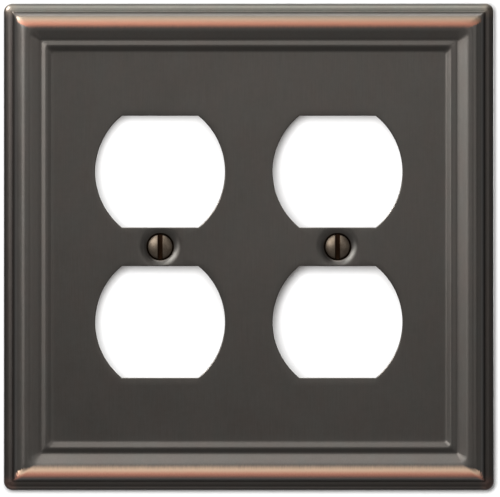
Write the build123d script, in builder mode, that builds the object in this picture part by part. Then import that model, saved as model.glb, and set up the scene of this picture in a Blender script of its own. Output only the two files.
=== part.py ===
from build123d import *
from math import radians, sin, tan
import os

# A two-gang wall plate for duplex receptacles, in millimetres.
# One stamped steel shell has a moulded border, four receptacle openings and two pressed
# screw seats. Two slotted oval-head screws hold it to the receptacles in the wall.
# X runs across the plate, Z is up and the face looks along -Y. The origin is the centre of
# the plate on the wall plane. A height is a distance out from the wall, so it lies at y = -height.

# Spacing of the devices behind the plate
gang_pitch = 46.04
receptacle_pitch = 39.0

# Shell
plate_width = 127.4
plate_height = 126.6
corner_radius = 2.3
sheet = 1.0
field_height = 5.5

# Border moulding: where each flat stretch would meet the next, and how far it is rounded.
# Insets are measured in from the outer edge of the plate.
lip_height = 2.15
lip_roll = 2.1
crease_inset = 2.25
crease_height = 2.35
bead_inset = 4.3
bead_apex_height = 9.05
bead_roll = 2.9
groove_inset = 9.75
groove_height = 5.9
groove_roll = 0.8
small_bead_inset = 11.15
small_bead_apex_height = 6.45
small_bead_roll = 0.9
moulding_inset = 12.65
crease_roll = 0.2
moulding_foot_roll = 1.3
field_overlap = 2.15

# Receptacle openings: flat above and below, bowed at the sides
opening_half_height = 14.47
opening_half_width = 16.81
opening_half_flat = 9.9

# Screw seats: the field rolls down into a shallow dish, then an 82 degree cone narrows to the hole
dish_radius = 4.74
dish_depth = 0.8
dish_roll = 3.7
dish_reach = 6.6
seat_radius = 3.58
seat_roll = 0.15
hole_radius = 2.0
countersink = 82.0
seat_gap = 0.1

# Screws: 6-32 oval head, 3/4 in long
head_radius = 3.2
head_rim = 0.15
head_rise = 1.1
slot_width = 1.1
slot_depth = 1.2
thread_radius = 1.752
neck_radius = 1.45
thread_start_height = 1.6
screw_length = 19.05
tip_chamfer = 0.5

os.makedirs("parts", exist_ok=True)
half_width = plate_width / 2
half_height = plate_height / 2
field_inset = moulding_inset + field_overlap
cone_run = tan(radians(countersink / 2))


def section_plane(x):
    """A plane across the plate at mid height. Its first axis is +X from x, its second out of the wall."""
    return Plane(origin=(x, 0, 0), x_dir=(1, 0, 0), z_dir=(0, 0, -1))


def bent_sheet(outline):
    """The section of a bent sheet whose front follows the outline: points of (x, height, roll)."""
    front = [Vector(x, height) for x, height, _ in outline]
    front_rolls = [roll for _, _, roll in outline[1:-1]]
    runs = [(stop - start).normalized() for start, stop in zip(front, front[1:])]
    inward = [Vector(run.Y, -run.X) for run in runs]
    back = [front[0] + inward[0] * sheet]
    back_rolls = []
    for corner, roll, before, after in zip(front[1:], front_rolls, inward, inward[1:]):
        back.append(corner + (before + after) * (sheet / (1 + before.dot(after))))
        turns_outward = before.cross(after).Z > 0
        back_rolls.append(roll + sheet if turns_outward else max(roll - sheet, 0))
    back.append(front[-1] + inward[-1] * sheet)
    with BuildSketch(mode=Mode.PRIVATE) as section:
        with BuildLine():
            face_line = FilletPolyline(*front, radius=front_rolls)
            back_line = FilletPolyline(*back, radius=back_rolls)
            Line(face_line @ 0, back_line @ 0)
            Line(face_line @ 1, back_line @ 1)
        make_face()
    return section.sketch


def border_section(inner, outer):
    """The bent sheet of the border between two insets, at the middle of the left edge."""
    outline = (
        (0, 0, 0),
        (0, lip_height, lip_roll),
        (crease_inset, crease_height, crease_roll),
        (bead_inset, bead_apex_height, bead_roll),
        (groove_inset, groove_height, groove_roll),
        (small_bead_inset, small_bead_apex_height, small_bead_roll),
        (moulding_inset, field_height, moulding_foot_roll),
        (field_inset, field_height, 0),
    )
    with BuildSketch(section_plane(-half_width)) as section:
        add(bent_sheet(outline))
        with Locations(((inner + outer) / 2, 0)):
            Rectangle(outer - inner, 4 * bead_apex_height, mode=Mode.INTERSECT)
    return section.sketch


def lower_edge(corner):
    """The outer edge of the plate's lower half on the wall plane, from mid left to mid right."""
    stops = (
        (-half_width, 0),
        (-half_width, -half_height),
        (half_width, -half_height),
        (half_width, 0),
    )
    with BuildLine(Plane.XZ) as path:
        if corner:
            FilletPolyline(*stops, radius=corner)
        else:
            Polyline(*stops)
    return path.wire()


# One receptacle opening about its own centre
with BuildSketch() as opening:
    with BuildLine():
        upper_left = (-opening_half_flat, opening_half_height)
        upper_right = (opening_half_flat, opening_half_height)
        lower_right = (opening_half_flat, -opening_half_height)
        lower_left = (-opening_half_flat, -opening_half_height)
        Line(upper_left, upper_right)
        ThreePointArc(upper_right, (opening_half_width, 0), lower_right)
        Line(lower_right, lower_left)
        ThreePointArc(lower_left, (-opening_half_width, 0), upper_left)
    make_face()

with BuildPart() as wall_plate:
    # The lip turns round the corners, and the beads inside it meet in mitres
    lip = border_section(0, crease_inset)
    beads = border_section(crease_inset - crease_roll, field_inset)
    sweep(lip, path=lower_edge(corner_radius))
    sweep(beads, path=lower_edge(0), transition=Transition.RIGHT)
    mirror(about=Plane.XY)

    # The flat field, left open where the two seats are pressed
    with BuildSketch(Plane.XZ.offset(field_height - sheet)):
        Rectangle(plate_width - 2 * moulding_inset, plate_height - 2 * moulding_inset)
        with GridLocations(gang_pitch, 0, 2, 1):
            Circle(dish_reach, mode=Mode.SUBTRACT)
    extrude(amount=sheet)

    # The screw seats
    seat_height = field_height - dish_depth
    hole_height = seat_height - (seat_radius - hole_radius) / cone_run
    seat_outline = (
        (hole_radius, hole_height, 0),
        (seat_radius, seat_height, seat_roll),
        (dish_radius, field_height, dish_roll),
        (dish_reach, field_height, 0),
    )
    for screw_x in (-gang_pitch / 2, gang_pitch / 2):
        with BuildSketch(section_plane(screw_x)):
            add(bent_sheet(seat_outline))
        revolve(axis=Axis((screw_x, 0, 0), (0, 1, 0)))

    # The four receptacle openings
    with BuildSketch(Plane.XZ):
        with GridLocations(gang_pitch, receptacle_pitch, 2, 2):
            add(opening.sketch)
    extrude(amount=bead_apex_height, mode=Mode.SUBTRACT)

wall_plate.part.label = "wall_plate"
export_step(wall_plate.part, "parts/wall_plate.step")

# The screws stand seated, with their slots upright, and their tips reach behind the wall plane
cone_lift = seat_gap / sin(radians(countersink / 2))
rim_height = seat_height + cone_lift - (seat_radius - head_radius) / cone_run
dome_height = rim_height + head_rim + head_rise
dome_radius = (head_radius**2 + head_rise**2) / (2 * head_rise)
neck_height = rim_height - (head_radius - neck_radius) / cone_run
tip_height = rim_height + head_rim - screw_length

for name, screw_x in (("left_screw", -gang_pitch / 2), ("right_screw", gang_pitch / 2)):
    with BuildPart() as screw:
        with BuildSketch(section_plane(screw_x)):
            with BuildLine():
                dome = RadiusArc((0, dome_height), (head_radius, rim_height + head_rim), dome_radius)
                Polyline(
                    dome @ 1,
                    (head_radius, rim_height),
                    (neck_radius, neck_height),
                    (neck_radius, thread_start_height),
                    (thread_radius, thread_start_height),
                    (thread_radius, tip_height + tip_chamfer),
                    (thread_radius - tip_chamfer, tip_height),
                    (0, tip_height),
                    dome @ 0,
                )
            make_face()
        revolve(axis=Axis((screw_x, 0, 0), (0, 1, 0)))
        with BuildSketch(Plane.XZ.offset(dome_height)):
            with Locations((screw_x, 0)):
                Rectangle(slot_width, 2 * head_radius + slot_width)
        extrude(amount=-slot_depth, mode=Mode.SUBTRACT)
    screw.part.label = name
    export_step(screw.part, f"parts/{name}.step")
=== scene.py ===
import bmesh
import bpy
import numpy as np
from mathutils import Matrix, Vector


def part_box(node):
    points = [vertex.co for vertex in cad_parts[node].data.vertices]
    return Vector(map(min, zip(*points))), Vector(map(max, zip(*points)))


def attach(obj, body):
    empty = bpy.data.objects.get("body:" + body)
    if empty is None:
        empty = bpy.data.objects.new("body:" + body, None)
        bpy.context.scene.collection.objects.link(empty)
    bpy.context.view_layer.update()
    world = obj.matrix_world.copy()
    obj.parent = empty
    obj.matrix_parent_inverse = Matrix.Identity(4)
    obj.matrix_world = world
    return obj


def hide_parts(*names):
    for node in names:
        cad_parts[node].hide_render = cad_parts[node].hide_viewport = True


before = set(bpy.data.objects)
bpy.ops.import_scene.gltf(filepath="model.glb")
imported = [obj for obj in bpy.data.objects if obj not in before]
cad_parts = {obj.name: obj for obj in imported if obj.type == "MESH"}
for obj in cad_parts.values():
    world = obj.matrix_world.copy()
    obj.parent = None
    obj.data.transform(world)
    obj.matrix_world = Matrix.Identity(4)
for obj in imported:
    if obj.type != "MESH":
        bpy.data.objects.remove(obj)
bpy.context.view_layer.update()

# ---------------------------------------------------------------- sizes, in metres

MM = 0.001
plate_low, plate_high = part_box("wall_plate")
HALF_WIDTH = plate_high.x
HALF_HEIGHT = plate_high.z
GANG = sum(corner.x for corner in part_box("right_screw")) / 2     # each gang's centre from the plate's
RECEPTACLE = 19.5 * MM                                           # each opening's centre from mid height

SHEET = 1.0 * MM
FIELD = 5.5 * MM                                                 # the field's face above the wall
FIELD_INSET = 14.8 * MM                                          # where the border meets the field

# The border's section: where the flat stretches would meet, (inset, height, roll), from the foot inwards
BORDER_OUTLINE = np.array((
    (0.0, 0.0, 0.1),
    (0.0, 2.15, 2.15),
    (2.25, 2.35, 0.2),
    (4.3, 9.05, 2.9),
    (9.75, 5.9, 0.8),
    (11.15, 6.45, 0.9),
    (12.65, 5.5, 1.3),
    (14.8, 5.5, 0.0),
)) * MM

# How far the border is rounded in plan where two rails meet, by inset
CORNER_INSETS = np.array((0.0, 2.05, 2.4, 4.0, 6.0, 7.5, 9.6, 11.2, 12.4, 13.5, 14.8)) * MM
CORNER_ROLLS = np.array((2.3, 0.3, 0.4, 1.3, 2.0, 1.8, 0.5, 1.0, 0.8, 0.4, 0.0)) * MM

# The screw seat's section, (radius, height, roll), from the hole outwards
HOLE_RADIUS = 2.0 * MM
SEAT_RADIUS = 3.58 * MM
SEAT_HEIGHT = FIELD - 0.8 * MM
DISH_RADIUS = 4.74 * MM                                          # where the dish's slope would meet the field
DISH_END = 6.6 * MM                                              # well out on the level field
CONE_ANGLE = np.radians(41.0)                                    # half of the 82 degree countersink
CONE_SLOPE = np.tan(CONE_ANGLE)                                  # its run over its rise
SEAT_OUTLINE = np.array((
    (HOLE_RADIUS, SEAT_HEIGHT - (SEAT_RADIUS - HOLE_RADIUS) / CONE_SLOPE, 0.0),
    (SEAT_RADIUS, SEAT_HEIGHT, 0.15 * MM),
    (DISH_RADIUS, FIELD, 3.7 * MM),
    (DISH_END, FIELD, 0.0),
))

OPENING_HALF_HEIGHT = 14.47 * MM
OPENING_HALF_WIDTH = 16.81 * MM
OPENING_HALF_FLAT = 9.9 * MM
FRONT_EDGE_ROLL = 0.3 * MM
BACK_EDGE_ROLL = 0.12 * MM

HEAD_RADIUS = 3.2 * MM
HEAD_RIM = 0.15 * MM
HEAD_RISE = 1.1 * MM
HEAD_EDGE_ROLL = 0.12 * MM
SLOT_WIDTH = 1.1 * MM
SLOT_DEPTH = 1.2 * MM
NECK_RADIUS = 1.45 * MM
THREAD_RADIUS = 1.752 * MM
THREAD_PITCH = 25.4 * MM / 32
THREAD_START = 1.6 * MM
TIP_CHAMFER = 0.5 * MM
SCREW_LENGTH = 19.05 * MM
SEAT_GAP = 0.1 * MM                                              # left between the head's cone and its seat

SAME_POINT = 0.5e-6                                              # points nearer than this are merged

# ---------------------------------------------------------------- lines and sheets


def rolled_line(outline, steps=8):
    """Points along a broken line whose corners are rolled to arcs. Each arc starts before its corner, by roll
    times the tangent of half the turn, and its points swing about a centre that lies roll from the line."""
    corners, rolls = outline[:, :2], outline[:, 2]
    points = [corners[:1]]
    for before, corner, after, roll in zip(corners, corners[1:], corners[2:], rolls[1:]):
        run, next_run = corner - before, after - corner
        run, next_run = run / np.hypot(*run), next_run / np.hypot(*next_run)
        turn = np.arctan2(run[0] * next_run[1] - run[1] * next_run[0], run @ next_run)
        side = np.array((-run[1], run[0])) * np.sign(turn)
        swing = np.linspace(0, abs(turn), steps + 1 if roll else 1)[:, None]
        start = corner - run * roll * np.tan(abs(turn) / 2)
        points.append(start + side * roll + roll * (run * np.sin(swing) - side * np.cos(swing)))
    return np.vstack([*points, corners[-1:]])


def behind(outline):
    """The outline of a bent sheet's back: every corner moved in by the sheet's thickness square to both its
    runs, with outer rolls tightened and inner rolls widened by as much."""
    corners, rolls = outline[:, :2], outline[:, 2]
    runs = np.diff(corners, axis=0)
    runs /= np.hypot(runs[:, 0], runs[:, 1])[:, None]
    inward = np.stack((runs[:, 1], -runs[:, 0]), axis=1)
    before = np.vstack((inward[:1], inward))
    after = np.vstack((inward, inward[-1:]))
    moved = corners + (before + after) * (SHEET / (1 + (before * after).sum(axis=1)))[:, None]
    turns = runs[:-1, 0] * runs[1:, 1] - runs[:-1, 1] * runs[1:, 0]
    widened = np.concatenate(((0,), np.where(turns > 0, SHEET, -SHEET), (0,)))
    return np.column_stack((moved, np.maximum(rolls + widened, 0)))


def quads(rows, columns, closed=False, keep=None):
    """The faces of a grid stored row by row: cell (row, column) takes the four points at its corners, and a
    closed grid's last column runs on to its first. keep is a mask of the cells that are wanted."""
    row, column = np.mgrid[0:rows - 1, 0:columns if closed else columns - 1]
    following = (column + 1) % columns
    faces = np.stack((row * columns + column, row * columns + following,
                      (row + 1) * columns + following, (row + 1) * columns + column), axis=-1)
    return faces[keep] if keep is not None else faces.reshape(-1, 4)


class Patches:
    """Grids of points gathered into one mesh, whose shared edges are then closed."""

    def __init__(self):
        self.points, self.faces, self.count = [], [], 0

    def add(self, x, y, z, closed=False, keep=None):
        """Takes in a grid of points, given as arrays of one shape or of shapes that widen to one."""
        x, y, z = np.broadcast_arrays(x, y, z)
        self.points.append(np.stack((x, y, z), axis=-1).reshape(-1, 3))
        self.faces.append(quads(*x.shape, closed, keep) + self.count)
        self.count += x.size

    def piece(self, name, body, node, slot):
        """Makes one closed piece of the grids, riding on a body and standing in for a node of the frame."""
        mesh = bpy.data.meshes.new(name)
        mesh.from_pydata(np.vstack(self.points), [], np.vstack(self.faces))
        shell = bmesh.new()
        shell.from_mesh(mesh)
        bmesh.ops.remove_doubles(shell, verts=shell.verts, dist=SAME_POINT)
        bmesh.ops.dissolve_degenerate(shell, edges=shell.edges, dist=SAME_POINT)
        bmesh.ops.recalc_face_normals(shell, faces=shell.faces)
        shell.to_mesh(mesh)
        shell.free()
        mesh.shade_smooth()
        made = bpy.data.objects.new(name, mesh)
        bpy.context.scene.collection.objects.link(made)
        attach(made, body)
        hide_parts(node)
        return made


# ---------------------------------------------------------------- the wall plate

bow_offset = ((OPENING_HALF_FLAT**2 + OPENING_HALF_HEIGHT**2 - OPENING_HALF_WIDTH**2)
              / (2 * (OPENING_HALF_WIDTH - OPENING_HALF_FLAT)))
bow_radius = OPENING_HALF_WIDTH + bow_offset

FIELD_COLUMNS = (8, 40, 10, 40, 8)
FIELD_ROWS = (8, 36, 20, 36, 8)
column_block = np.repeat(np.arange(5), FIELD_COLUMNS)
row_block = np.repeat(np.arange(5), FIELD_ROWS)
is_gang = np.isin(column_block, (1, 3))[None, :]
solid_cells = ~(is_gang & np.isin(row_block, (1, 2, 3))[:, None])    # without the openings and the seats

seat_front = rolled_line(SEAT_OUTLINE)
seat_back = rolled_line(behind(SEAT_OUTLINE))


def bow(height, spread):
    """Half the width of an opening grown all round by spread: a circle's half chord at that height, less
    the distance by which the circle's centre lies beyond the opening's own."""
    return np.sqrt((bow_radius + spread) ** 2 - height**2) - bow_offset


def from_screw(x, z):
    """The distance from the nearer screw's axis."""
    return np.hypot(np.abs(x) - GANG, z)


def front_height(x, z):
    """The field's face above the wall: the seat section's height at that distance from the screw."""
    return np.interp(from_screw(x, z), seat_front[:, 0], seat_front[:, 1])


def back_height(x, z):
    """The field's back above the wall, in the same way."""
    return np.interp(from_screw(x, z), seat_back[:, 0], seat_back[:, 1])


SHEET_SIDES = ((FRONT_EDGE_ROLL, front_height), (BACK_EDGE_ROLL, back_height))


def between(edges, counts):
    """Values that run from each edge to the next in equal steps, with the edges themselves counted once."""
    steps = [np.arange(count) / count for count in counts]
    runs = [low + (high - low) * step[:, None] for low, high, step in zip(edges, edges[1:], steps)]
    return np.vstack([*runs, edges[-1][None, :]])


def field_lines(spread):
    """The field as one grid of 25 blocks. Its rows run between the levels of the openings' flats, and its
    columns between the openings' sides, which bow out beside an opening. Both stay clear of it by spread."""
    reach = OPENING_HALF_HEIGHT + spread
    levels = np.array((-(HALF_HEIGHT - FIELD_INSET), -RECEPTACLE - reach, -RECEPTACLE + reach,
                       RECEPTACLE - reach, RECEPTACLE + reach, HALF_HEIGHT - FIELD_INSET))
    z = between(levels[:, None], FIELD_ROWS)[:, 0]
    side = bow(np.clip(np.abs(z) - RECEPTACLE, -reach, reach), spread)
    edge = np.full_like(z, HALF_WIDTH - FIELD_INSET)
    x = between(np.stack((-edge, -GANG - side, -GANG + side, GANG - side, GANG + side, edge)), FIELD_COLUMNS)
    return x.T, np.broadcast_to(z[:, None], (z.size, x.shape[0]))


def oblong(half_x, half_z, across, up):
    """Once round a block's edge, anticlockwise from its lower left corner, in across and up equal steps a
    side. Gives each point's X and Z from the block's centre."""
    right, rise = np.arange(across) / across * 2 - 1, np.arange(up) / up * 2 - 1
    x = np.concatenate((right, np.ones(up), -right, -np.ones(up)))
    z = np.concatenate((-np.ones(across), rise, np.ones(across), -rise))
    return x * half_x, z * half_z


def add_opening(plate, centre_x, centre_z):
    """The sheared edge of an opening: its outline spread by each step of a rolled front edge, a straight
    wall and a small rolled back edge. Both rolls are quarter circles."""
    quarter = np.linspace(0, np.pi / 2, 6)
    steps = len(quarter)
    growing, shrinking = 1 - np.cos(quarter), 1 - np.sin(quarter)
    spread = np.concatenate((FRONT_EDGE_ROLL * shrinking, BACK_EDGE_ROLL * growing))[:, None]
    share_x, share_z = oblong(1, 1, FIELD_COLUMNS[1], FIELD_ROWS[1])
    z = share_z * (OPENING_HALF_HEIGHT + spread)
    x = share_x * bow(z, spread)
    x, z = x + centre_x, z + centre_z
    front = front_height(x[:steps], z[:steps]) - FRONT_EDGE_ROLL * growing[:, None]
    back = back_height(x[steps:], z[steps:]) + BACK_EDGE_ROLL * shrinking[:, None]
    plate.add(x, -np.vstack((front, back)), z, closed=True)


def add_seat(plate, centre_x):
    """A screw seat: rings about the screw, each cut short where it would pass the block's edge. They
    follow the front's heights from the block's edge in to the hole, and the back's out again."""
    rings = []
    for section, (spread, height) in zip((seat_front, seat_back), SHEET_SIDES):
        half_width = bow(OPENING_HALF_HEIGHT + spread, spread)
        half_height = RECEPTACLE - OPENING_HALF_HEIGHT - spread
        edge_x, edge_z = oblong(half_width, half_height, FIELD_COLUMNS[1], FIELD_ROWS[2])
        reach = np.hypot(edge_x, edge_z)
        radius = np.vstack((np.minimum(section[:, :1], reach), reach))
        x, z = centre_x + edge_x / reach * radius, edge_z / reach * radius
        rings.append((x, -height(x, z), z))
    front, back = rings
    plate.add(*(np.vstack((inward[::-1], outward)) for inward, outward in zip(front, back)), closed=True)


def once_round(spread, turn):
    """Once round the border, anticlockwise from the lower left corner, in steps that match the field's
    grid. Gives each point's share of the straight sides along X and Z, and the X and Z of its outward
    direction."""
    x, z = field_lines(spread)
    x, z = x[0] / (HALF_WIDTH - FIELD_INSET), z[:, 0] / (HALF_HEIGHT - FIELD_INSET)
    one, none, rising, falling = np.ones_like, np.zeros_like, np.sin(turn), np.cos(turn)
    along_x = (x, one(turn), one(z), one(turn))
    along_z = (-one(x), -one(turn), z, one(turn))
    out_x = (none(x), rising, one(z), falling)
    out_z = (-one(x), -falling, none(z), rising)
    return [np.concatenate((*half, *(-part for part in half))) for half in (along_x, along_z, out_x, out_z)]


def add_border(plate):
    """The border: its section's insets and heights carried round the plate, from the field's back out to the
    foot and in again to the field's face. A ring at an inset is a rectangle with rounded corners, so a point
    is the straight sides' half length times its share of them, plus the rounding times its way outward."""
    line = rolled_line(np.vstack((behind(BORDER_OUTLINE)[::-1], BORDER_OUTLINE)))
    inset, height = line[:, :1], line[:, 1:]
    roll = np.interp(inset, CORNER_INSETS, CORNER_ROLLS)
    turn = np.linspace(0, np.pi / 2, 9)[1:-1]
    along_x, along_z, out_x, out_z = (
        np.vstack((back, np.tile(front, (len(line) - 1, 1))))
        for back, front in zip(once_round(BACK_EDGE_ROLL, turn), once_round(FRONT_EDGE_ROLL, turn)))
    x = (HALF_WIDTH - inset - roll) * along_x + roll * out_x
    z = (HALF_HEIGHT - inset - roll) * along_z + roll * out_z
    plate.add(x, -height, z, closed=True)


def make_wall_plate():
    """The plate: the field's front and back, the seats and the openings let into it, and the border."""
    plate = Patches()
    for spread, height in SHEET_SIDES:
        x, z = field_lines(spread)
        plate.add(x, -height(x, z), z, keep=solid_cells)
    for centre_x in (-GANG, GANG):
        add_seat(plate, centre_x)
        for centre_z in (-RECEPTACLE, RECEPTACLE):
            add_opening(plate, centre_x, centre_z)
    add_border(plate)
    return plate.piece("stamped_wall_plate", "plate", "wall_plate", "plate_finish")


wall_plate = make_wall_plate()

# ---------------------------------------------------------------- the screws

RIM_HEIGHT = SEAT_HEIGHT + SEAT_GAP / np.sin(CONE_ANGLE) - (SEAT_RADIUS - HEAD_RADIUS) / CONE_SLOPE
DOME_HEIGHT = RIM_HEIGHT + HEAD_RIM + HEAD_RISE
DOME_RADIUS = (HEAD_RADIUS**2 + HEAD_RISE**2) / (2 * HEAD_RISE)
NECK_HEIGHT = RIM_HEIGHT - (HEAD_RADIUS - NECK_RADIUS) / CONE_SLOPE
TIP_HEIGHT = RIM_HEIGHT + HEAD_RIM - SCREW_LENGTH


def head_columns():
    """Where the head's columns stand across the slot, how far each is below the dome, and which are in the
    slot. They go by equal turns about the head outside the slot, then round its edge and along its floor."""
    quarter = np.linspace(0, np.pi / 2, 5)
    edge = SLOT_WIDTH / 2 + HEAD_EDGE_ROLL
    turn = np.linspace(0, np.arccos(edge / HEAD_RADIUS), 16)[:-1]
    outside = -HEAD_RADIUS * np.cos(turn)
    rolled = -edge + HEAD_EDGE_ROLL * np.sin(quarter)
    x = np.concatenate((outside, rolled, np.linspace(-SLOT_WIDTH / 2, 0, 4)[:-1]))
    drop = np.concatenate((outside * 0, HEAD_EDGE_ROLL * (1 - np.cos(quarter)), (0, 0, 0)))
    in_slot = np.concatenate((outside * 0, rolled * 0, (1, 1, 1)))
    return (np.concatenate((x, (0,), -x[::-1])), np.concatenate((drop, (0,), drop[::-1])),
            np.concatenate((in_slot, (1,), in_slot[::-1])))


def head_face():
    """The head's face: a grid of columns across the slot, each as long as the head's chord there. It is a
    sphere's cap with a softened rim outside the slot, and the slot's floor in it."""
    x, drop, in_slot = (column[:, None] for column in head_columns())
    along = np.sin(np.linspace(-np.pi / 2, np.pi / 2, 41))[None, :]
    z = np.sqrt(np.maximum(HEAD_RADIUS**2 - x**2, 0)) * along
    radius = np.hypot(x, z)
    dome = DOME_HEIGHT - DOME_RADIUS + np.sqrt(DOME_RADIUS**2 - radius**2) - drop
    edge = np.clip((radius - HEAD_RADIUS + HEAD_EDGE_ROLL) / HEAD_EDGE_ROLL, 0, 1)
    dome = dome - HEAD_EDGE_ROLL * 0.6 * (1 - np.sqrt(1 - edge**2))
    height = np.where(in_slot > 0, np.minimum(dome, DOME_HEIGHT - SLOT_DEPTH), dome)
    return np.broadcast_to(x, z.shape), height, z


def thread_radius(level, turn):
    """The cut thread's radius. A point's distance from the crest is how far it is along the pitch, less its
    turn about the axis. Past the crest's flat, the 60 degree cut deepens by root three times the distance."""
    from_crest = np.abs((-level / THREAD_PITCH - turn + 0.5) % 1 - 0.5) * THREAD_PITCH
    half_crest, full_depth = THREAD_PITCH / 16, 0.54 * THREAD_PITCH
    return THREAD_RADIUS - np.clip((from_crest - half_crest) * np.sqrt(3), 0, full_depth)


def make_screw(name, node, centre_x):
    """A slotted oval-head screw. Below the head's face, rings about the axis follow the rim, the cone,
    the neck, the thread with its slow run in, and the chamfered tip, which is closed at the axis."""
    screw = Patches()
    x, height, z = head_face()
    screw.add(centre_x + x, -height, z)

    rim_x, rim_height, rim_z = (np.concatenate((grid[:, 0], grid[::-1, -1])) for grid in (x, height, z))
    out_x, out_z = rim_x / HEAD_RADIUS, rim_z / HEAD_RADIUS
    turn = np.arctan2(out_x, out_z) / (2 * np.pi)

    level = np.arange(THREAD_START, TIP_HEIGHT + 0.05 * MM, -THREAD_PITCH / 12)[:, None]
    cut = thread_radius(level, turn)
    run_in = NECK_RADIUS - 0.1 * MM + (THREAD_START - level) * 0.7
    tip_radius = THREAD_RADIUS - TIP_CHAMFER
    thread = np.minimum(np.minimum(cut, run_in), tip_radius + (level - TIP_HEIGHT))

    upper_rings = np.array(((HEAD_RADIUS, RIM_HEIGHT), (NECK_RADIUS, NECK_HEIGHT)))
    tip_ring = np.minimum(cut[-1:], tip_radius)
    radius = np.vstack((upper_rings[:, :1] + 0 * turn, thread, tip_ring, 0 * tip_ring))
    heights = np.vstack((upper_rings[:, 1:], level, TIP_HEIGHT, TIP_HEIGHT)) + 0 * turn
    shank_x = centre_x + np.vstack((rim_x, radius * out_x))
    shank_z = np.vstack((rim_z, radius * out_z))
    screw.add(shank_x, -np.vstack((rim_height, heights)), shank_z, closed=True)
    return screw.piece(name, node, node, "screw_finish")


screws = [make_screw("oval_head_screw_left", "left_screw", -GANG),
          make_screw("oval_head_screw_right", "right_screw", GANG)]

# ---------------------------------------------------------------- finishes


class Wire:
    """A value in a finish's node tree. Arithmetic on it adds a Math node."""

    def __init__(self, finish, socket):
        self.finish, self.socket = finish, socket

    def math(self, operation, *values):
        return self.finish.node("Math", {"operation": operation}, dict(enumerate(values)))

    def __add__(self, other):
        return self.math("ADD", self, other)

    def __sub__(self, other):
        return self.math("SUBTRACT", self, other)

    def __rsub__(self, other):
        return self.math("SUBTRACT", other, self)

    def __mul__(self, other):
        return self.math("MULTIPLY", self, other)

    def __abs__(self):
        return self.math("ABSOLUTE", self)

    __radd__, __rmul__ = __add__, __mul__

    def least(self, other):
        return self.math("MINIMUM", self, other)

    def most(self, other):
        return self.math("MAXIMUM", self, other)

    def root(self):
        return self.math("SQRT", self)

    def sign(self):
        return self.math("SIGN", self)


class Finish:
    """A material made node by node. Its patterns lie in the part's own frame, in metres."""

    def __init__(self, name):
        self.material = bpy.data.materials.new(name)
        self.material.use_nodes = True
        self.tree = self.material.node_tree
        self.tree.nodes.clear()
        self.place = self.node("TexCoord", output="Object")
        self.facing = self.node("TexCoord", output="Normal")

    def node(self, kind, settings=(), inputs=(), output=0):
        """Adds a node: its settings first, then its sockets by name or number, as values or wires."""
        made = self.tree.nodes.new("ShaderNode" + kind)
        for setting, value in dict(settings).items():
            setattr(made, setting, value)
        for key, value in dict(inputs).items():
            if isinstance(value, Wire):
                self.tree.links.new(value.socket, made.inputs[key])
            else:
                made.inputs[key].default_value = value
        return Wire(self, made.outputs[output]) if made.outputs else None

    def axis(self, vector, name):
        return self.node("SeparateXYZ", inputs={0: vector}, output=name)

    def noise(self, size, stretch=(1, 1, 1), detail=2, shift=0.0):
        """Cloudy noise from 0 to 1. Its blotches are about size metres wide, and stretch draws them out
        along each axis. A shift moves the pattern, so that two of them don't match."""
        scale = [1 / (size * along) for along in stretch]
        moved = (shift, shift, shift)
        place = self.node("Mapping", inputs={"Vector": self.place, "Scale": scale, "Location": moved})
        inputs = {"Vector": place, "Scale": 1.0, "Detail": detail, "Roughness": 0.6}
        return self.node("TexNoise", inputs=inputs)

    def step(self, value, low, high):
        """A smooth step: 0 below low, 1 above high. It falls instead where low is the greater."""
        limits = {"Value": value, "From Min": low, "From Max": high}
        return self.node("MapRange", {"interpolation_type": "SMOOTHSTEP"}, limits)

    def band(self, value, low, high, soft):
        """1 where the value is from low to high, falling to 0 over soft on either side."""
        return self.step(value, low - soft, low + soft) * self.step(value, high + soft, high - soft)

    def mix(self, kind, share, first, second):
        """Two colours mixed in one of the Mix node's ways. Each is a wire, or red, green and blue."""
        first, second = (c if isinstance(c, Wire) else (*c, 1) for c in (first, second))
        settings = {"data_type": "RGBA", "blend_type": kind}
        return self.node("Mix", settings, {0: share, 6: first, 7: second}, output=2)

    def blend(self, share, first, second):
        """One colour turning to another as share goes from 0 to 1."""
        return self.mix("MIX", share, first, second)

    def tint(self, share, colour, by):
        """The colour turning to its product with another as share goes from 0 to 1."""
        return self.mix("MULTIPLY", share, colour, by)

    def cover(self, pieces, colour, roughness, metal, relief, depth):
        """Finishes pieces. Colour, roughness and metalness vary over them, and relief lifts them by depth."""
        bump = self.node("Bump", inputs={"Height": relief, "Distance": depth, "Strength": 1.0})
        surface = self.node("BsdfPrincipled", inputs={
            "Base Color": colour, "Roughness": roughness, "Metallic": metal, "Normal": bump, "IOR": 1.5})
        self.node("OutputMaterial", {}, {"Surface": surface})
        for piece in pieces:
            piece.data.materials.append(self.material)


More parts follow.
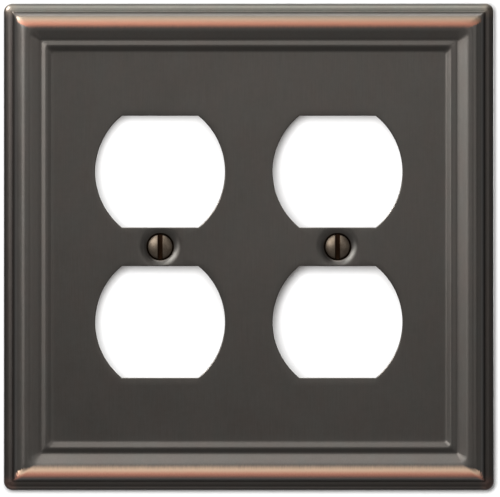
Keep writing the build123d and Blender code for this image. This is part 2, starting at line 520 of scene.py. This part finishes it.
class PlateBronze(Finish):
    """The plate's bronze: the distances and patterns that its coats go by, and a method for each coat.
    Insets are measured from the plate's outer edge, and upper is 1 on the plate's upper half."""

    def __init__(self):
        super().__init__("aged_bronze")
        self.x, self.z = self.axis(self.place, "X"), self.axis(self.place, "Z")
        self.from_side, self.from_end = HALF_WIDTH - abs(self.x), HALF_HEIGHT - abs(self.z)
        self.inset = self.from_side.least(self.from_end)
        self.past_mitre = self.from_side - self.from_end
        self.end_rail = self.step(self.past_mitre, -0.5 * MM, 0.5 * MM)
        self.upper = self.step(self.z, -MM, MM)
        across = abs(self.x) - GANG
        self.from_screw = (across * across + self.z * self.z).root()

        self.mottle = self.noise(1.2 * MM, detail=4, shift=3.0)
        self.grain = self.noise(0.22 * MM, (1, 1, 40), detail=3, shift=7.0)
        self.streak = self.noise(0.35 * MM, (1, 1, 6), detail=4, shift=11.0)
        clouds = self.noise(18 * MM, detail=3)
        on_field = self.step(self.inset, 12.5 * MM, 13.5 * MM)
        self.tone = clouds * 0.3 + self.mottle * 0.25 + self.grain * 0.45 - on_field * 0.22

        ridge = self.step(abs(self.past_mitre), 1.6 * MM, 0.1 * MM) * (1 - self.upper)
        self.ragged = self.from_end + ridge * (0.7 * MM) + self.streak * (0.5 * MM) - 0.25 * MM

    def patina(self):
        """Blotchy bronze, darker on the field, that wanders a little between reddish and greenish."""
        hue = self.noise(5 * MM, (1, 1, 2), detail=3, shift=5.0)
        reddish, greenish = (1.06, 0.98, 0.96), (0.95, 1.03, 1.03)
        bronze = self.blend(self.tone, (0.077, 0.0695, 0.063), (0.132, 0.1215, 0.1125))
        return self.tint(1.0, bronze, self.blend(hue, reddish, greenish))

    def paint_seat_light(self, colour):
        """Painted light in each seat's dish: its lower part goes from painted shade on its left to a pale
        bluish painted highlight on its right.
        """
        from_own_screw = self.x - self.x.sign() * GANG
        dish = self.band(self.from_screw, 3.7 * MM, 5.0 * MM, 0.4 * MM)
        lower_dish = dish * self.step(self.z, 2.5 * MM, -0.5 * MM)
        seat_highlight_side = self.step(from_own_screw, -3.0 * MM, 4.2 * MM)
        # painted shade where the dish faces away from the light, painted highlight where it faces towards it
        return self.tint(lower_dish, colour, self.blend(seat_highlight_side, (0.5, 0.5, 0.5), (1.2, 1.26, 1.28)))

    def paint_lip_and_bead_light(self, colour):
        """Painted light on the lip and the small bead: the turned lip is darkened as painted shade but for its
        top, which is lightened as a painted highlight, and the small bead is darkened at top and bottom as
        painted shade.
        """
        lip = self.step(self.inset, 2.6 * MM, 2.2 * MM)
        lit_top_lip = lip * self.end_rail * self.upper
        bead = self.band(self.inset, 10.0 * MM, 12.6 * MM, 0.3 * MM) * self.end_rail
        # painted shade on the lip and the small bead, painted highlight along the top rail's lip
        colour = self.tint(lip - lit_top_lip, colour, (0.62, 0.6, 0.6))
        colour = self.tint(lit_top_lip, colour, (1.2, 1.25, 1.2))
        return self.tint(bead, colour, (0.7, 0.7, 0.7))

    def darken_creases_patina_and_shade(self, colour):
        """Near black at the foot, in the crease outside the main bead and between the two beads: partly the
        dark patina that aged bronze keeps in its hollows, partly painted shade.
        """
        # painted shade: the outer crease is darkest on the side rails, less on the bottom rail and least on
        # the top rail
        outer_crease_patina_and_shade = 0.85 - self.end_rail * (0.55 + self.upper * 0.15)
        outer = self.band(self.inset, 2.45 * MM, 3.0 * MM, 0.4 * MM) * outer_crease_patina_and_shade
        between_beads = self.band(self.inset, 9.3 * MM, 9.9 * MM, 0.5 * MM) * 0.25
        foot = self.step(self.inset, 0.9 * MM, 0.1 * MM) * 0.6
        return self.blend(outer + between_beads + foot, colour, (0.02, 0.017, 0.015))

    def wear(self):
        """Where the patina is rubbed off, from 0 to 1: ragged strips along the crowns of the top and bottom
        rails, whose ends reach a little past the mitres, and faint mottled wear at the plate's corners."""
        top = self.step(self.ragged, 2.6 * MM, 4.6 * MM) * self.step(self.ragged, 7.0 * MM, 5.3 * MM)
        bottom = self.step(self.ragged, 2.9 * MM, 4.75 * MM) * self.step(self.ragged, 7.0 * MM, 5.1 * MM)
        on_crown = self.band(self.from_end, 4.2 * MM, 5.6 * MM, 1.2 * MM)
        reach = on_crown * (1.4 * MM) + self.streak * (2.4 * MM) - 1.2 * MM
        within = self.step(self.past_mitre + reach, -0.5 * MM, 0.3 * MM)
        corner = self.step(self.from_side.most(self.from_end), 4.2 * MM, 2.0 * MM)
        faint = corner * self.mottle * (0.12 + self.upper * 0.3)
        return ((top * self.upper + bottom * (1 - self.upper)) * within).most(faint)

    def copper(self):
        """Bare copper where the patina is worn through, in a shaded and a lit copy: dull along the top rail,
        pale along the bottom one as a painted highlight, and redder on the lower sides as painted shade.
        """
        dull, top_copper_underside_shade = (0.185, 0.133, 0.088), (0.35, 0.128, 0.076)
        pale, bottom_copper_underside_shade = (0.86, 0.59, 0.41), (0.75, 0.29, 0.19)
        # painted light: the top rail's copper is a shaded copy and the bottom rail's a lit copy, each turning
        # red on its lower side as painted shade
        top = self.blend(self.step(self.ragged, 3.8 * MM, 6.2 * MM), dull, top_copper_underside_shade)
        bottom = self.blend(self.step(self.ragged, 5.6 * MM, 4.0 * MM), pale, bottom_copper_underside_shade)
        return self.blend(self.upper, bottom, top)


def finish_plate(plate):
    """Aged bronze, brushed upright, rubbed through to copper along the top and bottom rails. Painted
    highlights and painted shade lie over the lip, the small bead, the seats' dishes and the copper, dark
    patina and painted shade fill the creases, and painted shade darkens the gap round each screw head. The
    back is left dull and brown."""
    bronze = PlateBronze()
    patina = bronze.darken_creases_patina_and_shade(bronze.paint_lip_and_bead_light(bronze.paint_seat_light(bronze.patina())))
    wear = bronze.wear()
    # painted shade in the gap between each screw head and its seat
    screw_gap_shade = bronze.step(bronze.from_screw, 3.72 * MM, 3.5 * MM)
    front = bronze.blend(screw_gap_shade, bronze.blend(wear, patina, bronze.copper()), (0.05, 0.034, 0.022))
    back = bronze.step(bronze.axis(bronze.facing, "Y"), -0.1, 0.3)
    brown = bronze.blend(bronze.mottle, (0.05, 0.042, 0.036), (0.11, 0.088, 0.07))
    roughness = bronze.tone * 0.12 + 0.28 + wear * 0.18 + back * 0.15
    metal = 1 - wear * (0.9 - bronze.upper * 0.25) - back * 0.3
    relief = bronze.grain * 0.7 + bronze.streak * 0.3
    bronze.cover([plate], bronze.blend(back, front, brown), roughness, metal, relief, 0.003 * MM)


def finish_screws(pieces):
    """Warm mottled bronze with a pale shank, and painted shade, near black, in the slot, along its edges and
    on the cone under the head.
    """
    bronze = Finish("screw_bronze")
    place_x, place_y = bronze.axis(bronze.place, "X"), bronze.axis(bronze.place, "Y")
    mottle = bronze.noise(0.8 * MM, detail=4)
    speckle = bronze.noise(0.18 * MM, detail=3, shift=4.0)
    tone = mottle * 0.5 + speckle * 0.5
    head = bronze.blend(bronze.step(tone, 0.3, 0.7), (0.098, 0.074, 0.053), (0.16, 0.13, 0.102))
    from_slot = abs(abs(place_x) - GANG) - SLOT_WIDTH / 2
    on_head = bronze.step(place_y, -RIM_HEIGHT + 0.1 * MM, -RIM_HEIGHT - 0.05 * MM)
    in_slot = bronze.step(from_slot, 0.22 * MM, 0.04 * MM) * on_head
    # painted shade: the slot, its rolled edges and the cone below the head are coloured near black
    dark = in_slot.most(1 - on_head)
    on_shank = bronze.step(place_y, -2.6 * MM, -2.2 * MM)
    shank = bronze.blend(mottle, (0.16, 0.12, 0.09), (0.3, 0.24, 0.19))
    colour = bronze.blend(on_shank, bronze.blend(dark, head, (0.022, 0.011, 0.006)), shank)
    bronze.cover(pieces, colour, tone * 0.15 + 0.32 + dark * 0.2, 1.0, tone, 0.012 * MM)


finish_plate(wall_plate)
finish_screws(screws)

# ---------------------------------------------------------------- the studio

LENS, SENSOR = 600, 36
FRAMED = 130.04 * MM                                             # the width that is seen at the plate's foot
AIM_X, AIM_Z = 0.30 * MM, -0.455 * MM                            # the plate stands a little off the middle
WALL_REACH = 0.5
WALL_GAP = 2.0 * MM                                              # the wall stands this far behind the foot
SOFTBOX_DISTANCE, SOFTBOX_DEPTH = 0.45, 0.17
WALL_LAMP = ("wall_key", 11, 135, 0.3, 2.6)
COVER_LAMPS = (
    # name, degrees from the front, degrees round from the right, length in metres, power in watts
    ("front", 8, 60, 0.17, 0.06),
    ("upper_left_front", 36, 148, 0.42, 0.4),
    ("upper_left", 52, 142, 0.3, 0.8),
    ("top_front", 36, 90, 0.3, 0.2),
    ("upper", 56, 88, 0.3, 0.2),
    ("top", 74, 95, 0.5, 1.0),
    ("over_the_top", 104, 92, 0.5, 0.55),
    ("behind_the_top", 136, 90, 0.5, 0.65),
    ("right_front", 40, 30, 0.42, 0.19),
    ("far_right", 88, 20, 0.5, 0.04),
    ("low_front", 28, 270, 0.3, 0.05),
    ("far_upper_left", 86, 142, 0.2, 4.4),
    ("below", 86, 252, 0.5, 0.2),
    ("behind_below", 128, 268, 0.5, 0.035),
    ("behind", 162, 60, 0.5, 1.6),
)


def add_camera():
    """A long lens square to the plate, so that the plate fills the frame but for a narrow margin."""
    lens = bpy.data.cameras.new("front_camera")
    lens.lens, lens.sensor_width = LENS, SENSOR
    lens.clip_start, lens.clip_end = 0.01, 10
    camera = bpy.data.objects.new("front_camera", lens)
    bpy.context.scene.collection.objects.link(camera)
    camera.location = (AIM_X, -FRAMED * LENS / SENSOR, AIM_Z)
    camera.rotation_euler = (np.pi / 2, 0, 0)
    bpy.context.scene.camera = camera


def add_wall():
    """A pale wall a little behind the plate, which softens the plate's shadow. It is seen from in front
    only, and lights nothing."""
    corners = [(x * WALL_REACH, WALL_GAP, z * WALL_REACH) for x, z in ((-1, -1), (1, -1), (1, 1), (-1, 1))]
    mesh = bpy.data.meshes.new("studio_wall")
    mesh.from_pydata(corners, [], [(0, 1, 2, 3)])
    wall = bpy.data.objects.new("studio_wall", mesh)
    bpy.context.scene.collection.objects.link(wall)
    wall.visible_shadow = wall.visible_diffuse = wall.visible_glossy = False
    paper = Finish("pale_wall")
    lit = paper.node("BsdfDiffuse", inputs={"Color": (0.9, 0.9, 0.9, 1)})
    clear = paper.node("BsdfTransparent")
    behind_it = paper.node("NewGeometry", output="Backfacing")
    seen = paper.node("MixShader", inputs={0: behind_it, 1: lit, 2: clear})
    paper.node("OutputMaterial", {}, {"Surface": seen})
    mesh.materials.append(paper.material)
    return wall


def add_softbox(name, from_front, round_from_right, length, power, falls_on):
    """A soft lamp aimed at the plate's centre. It stands at an angle from straight ahead, on a ring round the
    line of sight at a turn anticlockwise from the right, in degrees. Its long side lies along the ring."""
    tip, turn = np.radians(from_front), np.radians(round_from_right)
    outward = Vector((np.sin(tip) * np.cos(turn), -np.cos(tip), np.sin(tip) * np.sin(turn)))
    along = Vector((-np.sin(turn), 0, np.cos(turn)))
    lamp = bpy.data.lights.new(name, "AREA")
    lamp.shape, lamp.size, lamp.size_y, lamp.energy = "RECTANGLE", length, SOFTBOX_DEPTH, power
    softbox = bpy.data.objects.new(name, lamp)
    bpy.context.scene.collection.objects.link(softbox)
    softbox.location = outward * SOFTBOX_DISTANCE
    softbox.rotation_euler = Matrix((along, outward.cross(along), outward)).transposed().to_euler()
    softbox.light_linking.receiver_collection = falls_on


def gathered(name, objects):
    """A collection for lamps to fall on."""
    collection = bpy.data.collections.new(name)
    for each in objects:
        collection.objects.link(each)
    return collection


def add_world(brightness):
    """An even white light from all round."""
    world = bpy.data.worlds.new("studio")
    world.use_nodes = True
    world.node_tree.nodes["Background"].inputs["Color"].default_value = (1, 1, 1, 1)
    world.node_tree.nodes["Background"].inputs["Strength"].default_value = brightness
    bpy.context.scene.world = world


add_camera()
add_world(0.31)
wall_alone = gathered("wall_alone", [add_wall()])
cover_alone = gathered("cover_alone", [wall_plate, *screws])
add_softbox(*WALL_LAMP, wall_alone)
for cover_lamp in COVER_LAMPS:
    add_softbox(*cover_lamp, cover_alone)
bpy.context.scene.view_settings.view_transform = "Standard"
